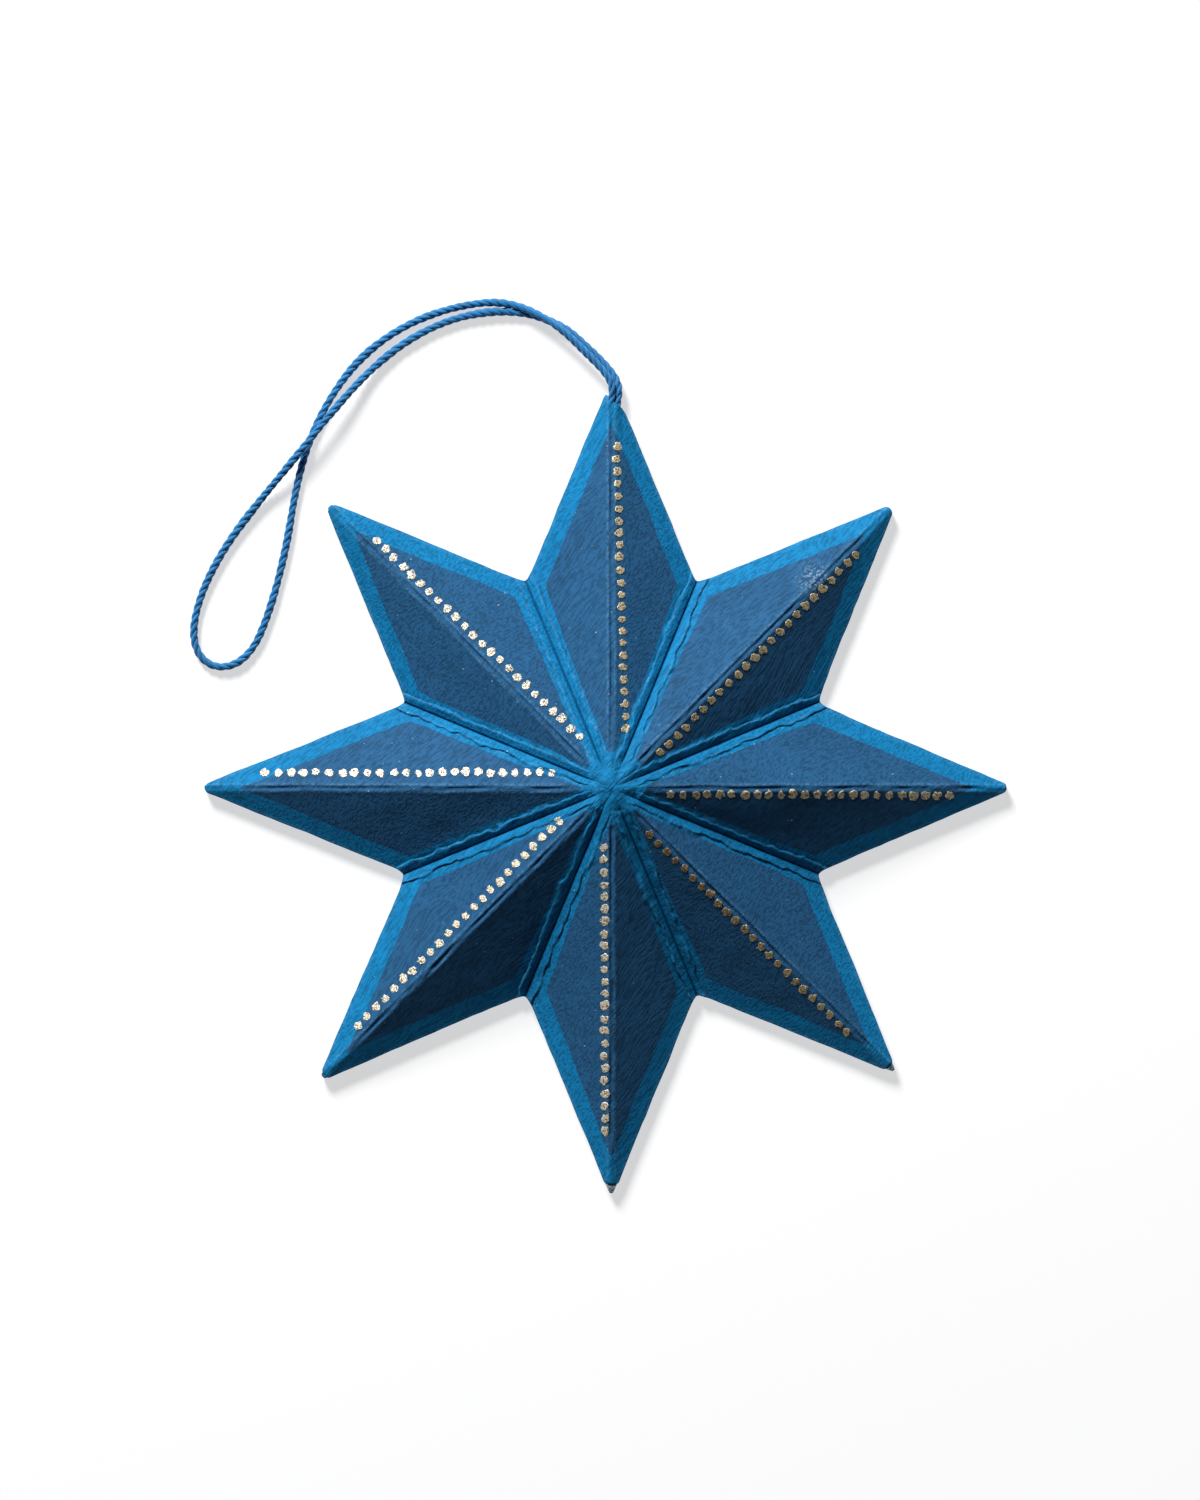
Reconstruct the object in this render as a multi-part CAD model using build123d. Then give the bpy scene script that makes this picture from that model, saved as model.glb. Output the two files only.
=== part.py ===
from build123d import *
import math
import os

# A hanging star of eight folded points, made of paper and card, lying on its flat back.
# Millimetres. X runs to the right, Y towards the point that hangs from the cord, and Z out of
# the front. The origin is the middle of the star on the surface that it lies on.

# Star
point_count = 8
tip_radius = 66.0  # where the two edges of a point would meet
notch_radius = 36.1  # where the edges of two neighbouring points would meet
relief_height = 15.0  # how far the middle stands above the edge
crown_drop = 1.0  # how much of the middle's peak is pressed flat
notch_fillet = 1.2  # rounding of the paper's edge between two points
cover_blunting = 2.6  # from where a point's edges would meet back to the cover's blunt end
tab_reach = 1.6  # how far the points of the board stick out of the cover

# Sheets
lining_thickness = 0.2
cover_thickness = 0.2
board_thickness = 0.8
card_thickness = 0.6
lining_margin = 1.8  # from the edge of the star to the edge of the lining
turn_in_width = 5.0  # how far the cover reaches in behind the board
lining_step = 0.3  # width of the step in the lining, from the turn-in to the board
card_foot = 0.3  # width of the card's edge that stands on the board
card_gap = 0.3  # between neighbouring cards, along each valley
card_inner_radius = 3.0  # the cards stop short of the middle
score_depth = 0.35  # of the round groove along each card's ridge, in which it folds
score_radius = 0.75

# Painted dots
dots_per_row = 24
dot_radius = 0.74
dot_top_radius = 0.58
dot_thickness = 0.25
first_dot = 9.6  # from the middle, along the point
last_dot_margin = 11.0  # from where the point's edges would meet
# Distance from each ridge to its row, at the first dot and at the last, clockwise from the top point.
dot_offsets = [
    (2.3, 0.9),
    (1.5, 1.3),
    (0.95, 1.2),
    (0.9, 1.0),
    (1.4, 1.3),
    (2.3, 1.8),
    (2.6, 2.5),
    (2.3, 1.4),
]

# Cord
cord_diameter = 1.2
leg_gap = 0.1  # between the two legs in the mouth
channel_clearance = 0.08  # round the legs in the mouth
mouth_margin = 0.1  # from the mouth to where the point is no wider than the sleeve
sleeve_length = 4.3  # the cover is gathered round the legs over this length
channel_lead = 2.0  # the card is cut away for the legs this far inside the sleeve
card_stop = 2.8  # the top point's card ends this far inside the mouth
knot_radius = 1.1
knot_length = 3.2
knot_fillet = 0.5
knot_clearance = 0.1  # under the card
knot_face = 0.7  # from the knot's middle to the flat that the cord's ends come out of

# Heights and angles that follow from the sizes above
half_sector = math.radians(180 / point_count)
notch_across = notch_radius * math.sin(half_sector)
notch_along = notch_radius * math.cos(half_sector)
tip_half_angle = math.atan2(notch_across, tip_radius - notch_along)
notch_half_angle = half_sector + tip_half_angle
# A facet falls by these for each millimetre along its point and away from its ridge.
fall_along = relief_height / tip_radius
fall_across = relief_height * (tip_radius - notch_along) / (tip_radius * notch_across)
facet_tangent = math.hypot(fall_along, fall_across)
facet_stretch = math.hypot(1, facet_tangent)  # a sheet's upright thickness over its thickness
cover_end = tip_radius - cover_blunting
tab_end = cover_end + tab_reach
last_dot = tip_radius - last_dot_margin

turn_in_z = lining_thickness
board_z = turn_in_z + cover_thickness
board_top = board_z + board_thickness
# Heights of three surfaces where each would reach the star's edge.
card_under_edge = board_top - (cover_thickness + card_foot) * facet_tangent
card_edge = card_under_edge + card_thickness * facet_stretch
cover_edge = card_edge + cover_thickness * facet_stretch
crown_z = cover_edge + relief_height - crown_drop
well_above = 2 * relief_height
well_outside = 1.5 * tip_radius

leg_spacing = cord_diameter + leg_gap
sleeve_half_width = (leg_spacing + cord_diameter) / 2 + channel_clearance + cover_thickness
mouth = tip_radius - sleeve_half_width / math.tan(tip_half_angle) - mouth_margin
sleeve_start = mouth - sleeve_length
channel_start = sleeve_start - channel_lead
corded_card_end = mouth - card_stop
# The knot lies as far out as its ends fit under the card.
knot_room = card_under_edge + relief_height - board_top - fall_across * knot_length / 2
knot_centre = (knot_room - 2 * knot_radius - knot_clearance) / fall_along

# The cord's route, chosen by hand: from the knot out of the mouth, up and over the second leg,
# round the loop, over the first leg and back into the mouth beside it.
cord_low = cord_diameter / 2
cord_mouth_z = board_top + channel_clearance + cord_diameter / 2
cord_hump = 3.0
cord_route = [
    (-leg_spacing / 2, knot_centre + knot_face, cord_mouth_z),
    (-leg_spacing / 2, 57.2, cord_mouth_z),
    (-0.67, 63.2, cord_mouth_z),
    (-0.2, 67.6, 2.3),
    (-3.5, 72.0, cord_hump),
    (-9.4, 77.2, cord_hump),
    (-17.2, 79.6, cord_low),
    (-25.2, 78.7, cord_low),
    (-33.2, 75.9, cord_low),
    (-40.6, 70.8, cord_low),
    (-45.9, 63.9, cord_low),
    (-49.6, 56.2, cord_low),
    (-51.6, 48.4, cord_low),
    (-52.9, 40.2, cord_low),
    (-54.6, 33.0, cord_low),
    (-56.4, 27.2, cord_low),
    (-58.4, 22.7, cord_low),
    (-61.5, 19.9, cord_low),
    (-65.2, 19.7, cord_low),
    (-67.9, 22.3, cord_low),
    (-68.3, 26.8, cord_low),
    (-66.5, 33.0, cord_low),
    (-62.8, 39.8, cord_low),
    (-57.8, 46.4, cord_low),
    (-52.0, 53.2, cord_hump),
    (-44.6, 62.4, cord_hump),
    (-38.2, 69.4, cord_low),
    (-31.4, 74.3, cord_low),
    (-23.8, 77.3, cord_low),
    (-15.8, 78.0, cord_low),
    (-8.5, 76.0, cord_low),
    (-2.7, 71.9, cord_low),
    (1.6, 67.7, 2.0),
    (0.67, 62.9, cord_mouth_z),
    (leg_spacing / 2, 57.0, cord_mouth_z),
    (leg_spacing / 2, knot_centre + knot_face, cord_mouth_z),
]
least_bend = 3 * cord_diameter  # the tightest that a limp cord lies in


def around(angle, radius):
    """A point in the plane, at an angle in radians and a distance from the middle."""
    return (radius * math.cos(angle), radius * math.sin(angle))


def point_angle(index):
    """Direction in radians of a point of the star, counted clockwise from the top."""
    return math.pi / 2 - 2 * half_sector * index


def point_plane(index):
    """Plane through the middle whose X axis runs along a point and whose Y axis is to its left."""
    return Plane.XY.rotated((0, 0, math.degrees(point_angle(index))))


def star_corners(tip, notch):
    """The corners of the star's outline, tips and notches in turn."""
    corners = []
    for index in range(point_count):
        corners.append(around(point_angle(index) + half_sector, notch))
        corners.append(around(point_angle(index), tip))
    return corners


def star_face(inset, end):
    """The star's outline moved in by inset, its notches rounded and its points cut off at end."""
    tip = tip_radius - inset / math.sin(tip_half_angle)
    notch = notch_radius - inset / math.sin(notch_half_angle)
    star = make_face(Polyline(*star_corners(tip, notch), close=True))
    notches = star.vertices().filter_by(lambda corner: math.hypot(corner.X, corner.Y) < (tip + notch) / 2)
    star = fillet(notches, notch_fillet + inset)
    blunting = RegularPolygon(end, point_count, major_radius=False, rotation=math.degrees(half_sector))
    return star & blunting


def slab(face, low, high):
    """An upright solid with that outline between two heights."""
    return extrude(Pos(0, 0, low) * face, amount=high - low)


def under_facets(edge_z, flat_z):
    """Everything below the folded facets that reach the star's edge at edge_z, cut level at flat_z."""
    spread = well_outside / tip_radius
    foot_z = -well_above
    rim_z = edge_z + relief_height * (1 - spread)
    corners = star_corners(well_outside, notch_radius * spread)
    rim = [Vector(x, y, rim_z) for x, y in corners]
    foot = [Vector(x, y, foot_z) for x, y in corners]
    peak = Vector(0, 0, edge_z + relief_height)
    sides = []
    for here in range(len(rim)):
        after = (here + 1) % len(rim)
        sides.append(Face(Wire.make_polygon([peak, rim[after], rim[here]])))
        sides.append(Face(Wire.make_polygon([rim[here], rim[after], foot[after], foot[here]])))
    sides.append(Face(Wire.make_polygon(foot)))
    level = Pos(0, 0, flat_z - well_above) * Box(4 * well_outside, 4 * well_outside, 2 * well_above)
    return Solid(Shell(sides)) & level


def facet_height(along, across, edge_z):
    """Height of a folded surface at a place on one point of the star."""
    return edge_z + relief_height - fall_along * along - fall_across * abs(across)


def cord_slot(grow, start, end):
    """The space of both legs of the cord, side by side on the board, grown all round."""
    height = cord_diameter + 2 * channel_clearance + 2 * grow
    width = leg_spacing + height
    section = Plane((0, start, cord_mouth_z), x_dir=(1, 0, 0), z_dir=(0, 1, 0))
    section *= SlotOverall(width, height)
    return extrude(section, amount=end - start)


def above_board(start):
    """Everything over the board's top, outwards from a distance along the top point."""
    return Pos(0, start, board_top) * Box(
        well_outside, well_outside, well_above, align=(Align.CENTER, Align.MIN, Align.MIN)
    )


def front_cover():
    """One sheet over the front, round the edge and turned in behind the board."""
    outside = under_facets(cover_edge, crown_z) & slab(star_face(0, cover_end), turn_in_z, well_above)
    hollow = under_facets(card_edge, crown_z - cover_thickness)
    hollow &= slab(star_face(cover_thickness, tip_radius), board_z, well_above)
    opening = slab(star_face(turn_in_width, tip_radius), turn_in_z, board_z)
    sleeve = cord_slot(cover_thickness, sleeve_start, mouth)
    sleeve &= above_board(sleeve_start)
    cover = outside - hollow - opening - above_board(mouth)
    return cover + sleeve - cord_slot(0, channel_start, well_outside)


def ridge_score():
    """The round groove along the ridge of a card whose point lies along X."""
    peak = (0, 0, card_edge + relief_height + score_radius - score_depth)
    section = Plane(peak, x_dir=(0, 1, 0), z_dir=(1, 0, -fall_along)) * Circle(score_radius)
    return extrude(section, amount=well_outside)


def point_card(index):
    """One folded card: two facets that meet in a ridge and stand on the board by their edges."""
    sheet = under_facets(card_edge, crown_z - cover_thickness)
    sheet -= under_facets(card_under_edge, well_above)
    sheet &= slab(star_face(cover_thickness, cover_end), board_top, well_above)
    far = well_outside * math.tan(half_sector)
    start = card_gap / 2 / math.sin(half_sector)
    sector = Polyline((start, 0), (start + well_outside, -far), (start + well_outside, far), close=True)
    card = sheet & slab(point_plane(index) * make_face(sector), board_top, well_above)
    card -= slab(Circle(card_inner_radius), board_top, well_above)
    card -= Rot(0, 0, math.degrees(point_angle(index))) * ridge_score()
    if index == 0:
        card -= cord_slot(cover_thickness, sleeve_start, well_outside)
        card -= cord_slot(0, channel_start, well_outside)
        card -= above_board(corded_card_end)
    return card


def back_board():
    """The flat star inside the back, with a rounded tab that fills the cover's mouth at each point."""
    board = slab(star_face(cover_thickness, cover_end), board_z, board_top)
    inner_tip = tip_radius - cover_thickness / math.sin(tip_half_angle)
    tab_half_width = (inner_tip - cover_end) * math.tan(tip_half_angle)
    tab_length = tab_end - cover_end + turn_in_width
    for index in range(point_count):
        tab = Pos(tab_end - tab_length / 2, 0) * SlotOverall(tab_length, 2 * tab_half_width)
        board += slab(point_plane(index) * tab, board_z, board_top)
    return board


def back_lining():
    """The sheet pasted over the back, with a step round it where it comes off the turned-in cover."""
    window = star_face(turn_in_width + lining_step, tip_radius)
    border = slab(star_face(lining_margin, cover_end) - window, 0, lining_thickness)
    step = slab(star_face(turn_in_width, tip_radius) - window, 0, board_z)
    middle = slab(star_face(turn_in_width, tip_radius), board_z - lining_thickness, board_z)
    return border + step + middle


def dot_row(index):
    """Raised dots of paint on the facet to the right of one ridge, in a row from the middle outwards."""
    near_offset, far_offset = dot_offsets[index]
    face_normal = (fall_along, -fall_across, 1)
    dot = Pos(0, 0, dot_thickness / 2) * Cone(dot_radius, dot_top_radius, dot_thickness)
    dots = []
    for number in range(dots_per_row):
        share = number / (dots_per_row - 1)
        along = first_dot + share * (last_dot - first_dot)
        across = -(near_offset + share * (far_offset - near_offset))
        place = (along, across, facet_height(along, across, cover_edge))
        seat = Plane(place, x_dir=(1, 0, -fall_along), z_dir=face_normal)
        dots.append(seat * dot)
    return Rot(0, 0, math.degrees(point_angle(index))) * Compound(dots)


def cord_knot():
    """The knot in the cord's ends: a short roll across the top point, lying on the board."""
    roll = Cylinder(knot_radius, knot_length)
    roll = fillet(roll.edges().filter_by(GeomType.CIRCLE), knot_fillet)
    roll = Pos(0, knot_centre, board_top + knot_radius) * Rot(0, 90, 0) * roll
    outer_side = Pos(0, knot_centre + knot_face + knot_radius, 0)
    return roll - outer_side * Box(well_outside, 2 * knot_radius, well_above)


def corner_radii(route):
    """The radius of each bend: as large as the two runs beside it allow."""
    radii = []
    for before, here, after in zip(route, route[1:], route[2:]):
        run_in = Vector(*here) - Vector(*before)
        run_out = Vector(*after) - Vector(*here)
        half_turn = math.radians(run_in.get_angle(run_out)) / 2
        radii.append(0.45 * min(run_in.length, run_out.length) / math.tan(half_turn))
    return radii


def hanging_cord():
    """The loop of cord as one tube along the route."""
    radii = corner_radii(cord_route)
    path = FilletPolyline(*cord_route, radius=radii)
    section = Plane(path @ 0, z_dir=path % 0) * Circle(cord_diameter / 2)
    cord = sweep(section, path=path)
    print("cord bends", [round(radius, 1) for radius in radii])
    print("tightest", round(min(radii), 2), "least allowed", round(least_bend, 2))
    print("cord length", round(path.length, 1))
    print("volume over section times length", cord.volume / (section.area * path.length))
    return cord


def write(name, shape):
    """Write one piece to its own file."""
    shape.label = name
    export_step(shape, os.path.join("parts", name + ".step"))


def main():
    os.makedirs("parts", exist_ok=True)
    write("front_cover", front_cover())
    write("back_board", back_board())
    write("back_lining", back_lining())
    for index in range(point_count):
        write("point_card_" + str(index + 1), point_card(index))
        write("dot_row_" + str(index + 1), dot_row(index))
    write("cord_knot", cord_knot())
    write("hanging_cord", hanging_cord())


main()
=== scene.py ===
import math

import bpy
import numpy as np
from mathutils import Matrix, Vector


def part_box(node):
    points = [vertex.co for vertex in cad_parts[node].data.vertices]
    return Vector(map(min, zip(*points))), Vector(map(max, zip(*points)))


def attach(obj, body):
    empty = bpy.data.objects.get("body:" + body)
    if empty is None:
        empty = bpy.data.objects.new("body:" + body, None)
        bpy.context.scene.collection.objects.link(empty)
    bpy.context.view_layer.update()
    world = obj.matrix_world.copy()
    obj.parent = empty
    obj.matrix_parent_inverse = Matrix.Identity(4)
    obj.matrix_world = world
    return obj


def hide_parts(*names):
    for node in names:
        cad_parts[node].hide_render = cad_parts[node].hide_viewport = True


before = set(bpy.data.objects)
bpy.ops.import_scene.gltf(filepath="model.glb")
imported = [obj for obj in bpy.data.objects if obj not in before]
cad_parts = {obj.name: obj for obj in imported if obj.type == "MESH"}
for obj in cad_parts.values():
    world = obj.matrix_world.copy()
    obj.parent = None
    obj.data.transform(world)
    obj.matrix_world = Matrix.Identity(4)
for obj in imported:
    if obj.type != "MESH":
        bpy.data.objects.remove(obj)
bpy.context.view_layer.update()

bl_info = {
    "name": "Hanging paper star",
    "version": (1, 0, 0),
    "blender": (4, 5, 0),
    "location": "3D View > Sidebar > Paper star",
    "description": "A folded paper star with printed points, painted dots and a twisted cord",
    "category": "Add Mesh",
}

# Lengths in this file are millimetres until a mesh or the camera is placed, and the light's are
# metres.
MM = 0.001
COVER_LOW, COVER_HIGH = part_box("front_cover")
BOARD_LOW, BOARD_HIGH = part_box("back_board")

# The star that the folded facets follow
POINTS = 8
COVER_END = COVER_HIGH.x / MM  # the cover's blunt end, from the middle
MOUTH = COVER_HIGH.y / MM  # the same on the point that holds the cord
TIP = COVER_END + 2.6  # where a point's two edges would meet
NOTCH = 36.1  # where the edges of two neighbouring points would meet
RELIEF = 15.0
CROWN_DROP = 1.0
EDGE_Z = COVER_HIGH.z / MM + CROWN_DROP - RELIEF
COVER_FOOT = COVER_LOW.z / MM
BOARD_FOOT = BOARD_LOW.z / MM
BOARD_TOP = BOARD_HIGH.z / MM
SHEET = 0.2  # thickness of the cover and of the lining
CROWN_AT = (0.6, 0.8)  # the middle of the pressed crown and of the print

HALF_SECTOR = math.pi / POINTS
NOTCH_ALONG = NOTCH * math.cos(HALF_SECTOR)
NOTCH_ACROSS = NOTCH * math.sin(HALF_SECTOR)
TIP_HALF = math.atan2(NOTCH_ACROSS, TIP - NOTCH_ALONG)
TIP_SLOPE = 1 / math.tan(TIP_HALF)
FALL_ALONG = RELIEF / TIP
FALL_ACROSS = RELIEF * (TIP - NOTCH_ALONG) / (TIP * NOTCH_ACROSS)
TIP_WALL = TIP * math.sin(TIP_HALF)  # distance from the middle to the line of an edge
TOP_ANGLE = math.pi / 2

# The cord's own sizes, and its route: out of the mouth, over the second leg, round the loop, over
# the first leg and back into the mouth
LEG = 0.65  # from the middle of the mouth to the middle of each leg
CORD_Z = 1.88  # height of the legs in the mouth
CORD_LOW = 0.74  # height of the cord where it lies on the table
# Where it lies on the table: from the mouth round the loop, and from the loop back to the mouth
OUTWARD = (
    (-17.2, 79.6), (-25.2, 78.7), (-33.2, 75.9), (-40.6, 70.8), (-45.9, 63.9), (-49.6, 56.2),
    (-51.6, 48.4), (-52.9, 40.2), (-54.6, 33.0), (-56.4, 27.2), (-58.4, 22.7), (-61.5, 19.9),
    (-65.2, 19.7), (-67.9, 22.3), (-68.3, 26.8), (-66.5, 33.0), (-62.8, 39.8), (-57.8, 46.4),
)
HOMEWARD = ((-38.2, 69.4), (-31.4, 74.3), (-23.8, 77.3), (-15.8, 78.0), (-8.5, 75.9))
CORD_ROUTE = [
    (-LEG, 51.52, CORD_Z),
    (-LEG, 57.2, CORD_Z),
    (-0.35, 61.6, 2.05),
    (0.3, 64.7, 2.6),
    (-0.4, 67.0, 2.6),
    (-3.7, 70.6, 2.5),
    (-9.6, 76.2, 2.5),
    *((x, y, CORD_LOW) for x, y in OUTWARD),
    (-52.0, 53.2, 2.6),
    (-44.6, 62.4, 2.6),
    *((x, y, CORD_LOW) for x, y in HOMEWARD),
    (-3.1, 71.4, 0.9),
    (0.3, 67.7, 1.3),
    (1.35, 65.1, 2.0),
    (0.8, 61.8, 1.95),
    (LEG, 57.0, CORD_Z),
    (LEG, 51.52, CORD_Z),
]
CORD_DIAMETER = 1.2

# Distance from each ridge to its dots, at the first and at the last, clockwise from the top point
DOT_NEAR = (2.3, 1.5, 0.95, 0.9, 1.2, 2.3, 2.6, 2.3)
DOT_FAR = (0.9, 1.3, 1.2, 1.0, 1.0, 1.8, 2.5, 1.4)
FIRST_DOT = 9.6  # from the middle, along the ridge
LAST_DOT = TIP - 11.0
# Painted shade on each row of dots, in the same order: how brown, and how khaki, each row is coloured, more
# on the rows whose facets face away from the light
DOT_BROWN_SHADE = (0.1, 0.1, 0.1, 1.0, 0.05, 0.05, 0.0, 0.0)
DOT_KHAKI_SHADE = (0.8, 1.0, 0.8, 1.0, 0.35, 0.25, 0.0, 0.1)


# Sizes and colours that a user may change


class PaperStarShape(bpy.types.PropertyGroup):
    roll_width: bpy.props.FloatProperty(
        name="Roll width", description="Width of the rolled paper on each side of a valley",
        default=1.42 * MM, unit="LENGTH", subtype="DISTANCE"
    )
    roll_height: bpy.props.FloatProperty(
        name="Roll height", description="How far the rolled paper stands up beside a valley",
        default=0.37 * MM, unit="LENGTH", subtype="DISTANCE"
    )
    score_depth: bpy.props.FloatProperty(
        name="Score depth", description="Depth of the line scored along each ridge",
        default=0.5 * MM, unit="LENGTH", subtype="DISTANCE"
    )
    dot_count: bpy.props.IntProperty(
        name="Dots", description="Painted dots beside each ridge", default=24, min=2
    )
    dot_radius: bpy.props.FloatProperty(
        name="Dot radius", description="Mean radius of a painted dot",
        default=0.7 * MM, unit="LENGTH", subtype="DISTANCE"
    )
    cord_pitch: bpy.props.FloatProperty(
        name="Cord pitch", description="Length in which the cord's strands go once round",
        default=4.4 * MM, unit="LENGTH", subtype="DISTANCE"
    )


class PaperStarColours(bpy.types.PropertyGroup):
    field: bpy.props.FloatVectorProperty(
        name="Printed field", description="Dark print in the middle of each facet",
        default=(0.016, 0.084, 0.190), subtype="COLOR", size=3
    )
    margin: bpy.props.FloatVectorProperty(
        name="Paper", description="Bright paper along the edges and valleys",
        default=(0.004, 0.160, 0.360), subtype="COLOR", size=3
    )
    dots: bpy.props.FloatVectorProperty(
        name="Dots", description="Metallic paint of the dots",
        default=(0.78, 0.73, 0.62), subtype="COLOR", size=3
    )
    cord: bpy.props.FloatVectorProperty(
        name="Cord", description="Dyed yarn of the hanging cord",
        default=(0.004, 0.160, 0.400), subtype="COLOR", size=3
    )
    lining: bpy.props.FloatVectorProperty(
        name="Lining", description="Paper pasted over the back",
        default=(0.006, 0.12, 0.29), subtype="COLOR", size=3
    )
    card: bpy.props.FloatVectorProperty(
        name="Card", description="Grey card inside the points",
        default=(0.10, 0.18, 0.25), subtype="COLOR", size=3
    )


def shape():
    return bpy.context.scene.paper_star_shape


def colours():
    return bpy.context.scene.paper_star_colours


# Numbers


def smooth(low, high, value):
    """0 below low, 1 above high, and a smooth step of 3 t squared less 2 t cubed between them."""
    t = np.clip((value - low) / (high - low), 0, 1)
    return t * t * (3 - 2 * t)


def bump(value, centre, width):
    """A bell: e to the minus square of the distance from the centre over the width."""
    return np.exp(-(((value - centre) / width) ** 2))


def waves(x, y, length, seed, count=14, angle=None, stretch=1.0):
    """Smooth random heights of about -1 to 1: the sum of plane waves with random headings,
    lengths near the one given and random starts, drawn out along an angle by the stretch."""
    draw = np.random.default_rng(seed)
    if angle is not None:
        cos, sin = math.cos(angle), math.sin(angle)
        x, y = (x * cos + y * sin) / stretch, -x * sin + y * cos
    total = np.zeros(np.broadcast(x, y).shape)
    for heading, size, start in zip(
        draw.uniform(0, 2 * math.pi, count), draw.uniform(0.6, 1.6, count), draw.uniform(0, 6.3, count)
    ):
        turn = 2 * math.pi / (length * size)
        total += np.cos(turn * (x * math.cos(heading) + y * math.sin(heading)) + start)
    return total / math.sqrt(count / 2) * 0.7


def soft_min(a, b, width):
    """The lower of two heights, rounded over the width where they cross."""
    return 0.5 * (a + b - np.sqrt((a - b) ** 2 + width * width))


# The folded surface


def valley_place(along, across):
    """How far a place on a point is from its valley, and along it."""
    sin, cos = math.sin(HALF_SECTOR), math.cos(HALF_SECTOR)
    return along * sin - across * cos, along * cos + across * sin


def fold_place(x, y):
    """A plan place as a place on its point: along the ridge, away from the ridge, which side of the
    ridge, away from the valley, along the valley, in from the edge, and the point, 0 at the top."""
    turn = np.arctan2(y, x) - TOP_ANGLE
    point = np.round(turn / (2 * HALF_SECTOR))
    heading = TOP_ANGLE + point * 2 * HALF_SECTOR
    along = x * np.cos(heading) + y * np.sin(heading)
    left = -x * np.sin(heading) + y * np.cos(heading)
    across = np.abs(left)
    from_valley, valley_along = valley_place(along, across)
    from_edge = (TIP - along) * math.sin(TIP_HALF) - across * math.cos(TIP_HALF)
    return along, across, np.sign(left), from_valley, valley_along, from_edge, np.mod(point, POINTS)


def ridge_relief(x, y, along, across, side):
    """The scored ridge: a round groove between two low shoulders, its depth and place wandering."""
    depth = shape().score_depth / MM
    strength = 0.72 + 0.3 * waves(x, y, 9, 11) + 0.16 * waves(x, y, 2.2, 12)
    strength *= smooth(4.6, 7.5, along) * (1 - 0.55 * smooth(57, 62, along))
    wander = 0.09 * waves(x, y, 12, 13) * side * smooth(0.02, 0.4, across)
    place = np.abs(across + wander)
    groove = -depth * np.clip(strength, 0.15, 1.05) * bump(place, 0, 0.27)
    shoulder = 0.06 * np.clip(strength, 0, 1.2) * bump(place, 0.64, 0.24)
    return groove + shoulder


def roll_reach(x, y, valley_along, side):
    """How far the rolled paper reaches from its valley: narrower near the middle, and wandering."""
    apart = x + 60.0 * side
    wander = 0.16 * waves(apart, y, 7.5, 21) + 0.1 * waves(apart, y, 2.6, 22)
    wander = wander + 0.04 * waves(apart, y, 1.2, 27)
    return shape().roll_width / MM * (1 + wander) * (0.65 + 0.35 * smooth(-5, 14, valley_along))


def roll_relief(x, y, from_valley, valley_along, side):
    """The rolled paper beside a valley: it rises from the deep crevice in the valley by the root of
    the share of its width, to a lip that drops to a crease, with small buckles across it."""
    apart = x + 60.0 * side
    share = np.clip(from_valley / roll_reach(x, y, valley_along, side), 0, 2)
    rise = np.minimum(share, 1) ** 0.6 * np.sqrt(np.clip(1 - share**7, 0, 1))
    swell = 1 + 0.26 * waves(apart, y, 5.5, 23) + 0.08 * waves(apart, y, 1.9, 24)
    buckle = waves(apart, y, 1.25, 25, angle=0.9, stretch=2.2)
    folds = 0.035 * buckle * bump(share, 0.8, 0.4)
    streaks = waves(valley_along / 5 + 0.5 * apart, from_valley + 0.3 * y, 0.85, 28)
    folds = folds - 0.035 * bump(streaks, 0, 0.2) * smooth(0.15, 0.4, share) * (1 - smooth(1.2, 1.9, share))
    foot = -0.05 * bump(share, 1.06, 0.07) * np.clip(0.7 + 0.8 * waves(apart, y, 4, 26), 0, 1.4)
    ends = smooth(2.6, 6.0, valley_along)
    crevice = -0.29 * bump(from_valley, 0, 0.09) * smooth(2.6, 5.0, valley_along)
    return ends * (shape().roll_height / MM * rise * np.clip(swell, 0.4, 1.6) + folds + foot) + crevice


def crown_relief(x, y, radius):
    """The pressed middle: a low boss, higher to the upper left, with long crossed creases."""
    boss = 0.2 * (1 - smooth(4.6, 6.0, radius + 0.6 * waves(x, y, 5, 31)))
    weight = 1 - smooth(4.2, 7.5, radius)
    creases = -bump(waves(x, y, 2.0, 32, angle=0.7, stretch=4.0), 0, 0.16)
    crossed = -bump(waves(x, y, 2.9, 35, angle=2.5, stretch=3.0), 0, 0.14)
    lumps = waves(x, y, 3.6, 34)
    return boss + weight * (0.1 * creases + 0.07 * crossed + 0.06 * lumps)


def mouth_relief(along, across, point, height):
    """The cover over the cord's two legs: never lower than the flat round sleeve that they need."""
    half_height = CORD_DIAMETER / 2 + 0.3
    beside = np.clip(across - LEG, 0, half_height - 0.02)
    sleeve = CORD_Z + np.sqrt(half_height**2 - beside**2)
    near = (point == 0) * smooth(57.0, 60.0, along) * (across < LEG + half_height)
    near = near * (1 - 0.85 * smooth(61.6, 63.2, along))
    lifted = 0.5 * (height + sleeve + np.sqrt((height - sleeve) ** 2 + 0.09))
    return height + near * (lifted - height)


def facet_height(along, across):
    """Height of the flat facets, which fall evenly along and across each point."""
    return EDGE_Z + RELIEF - FALL_ALONG * along - FALL_ACROSS * across


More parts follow.
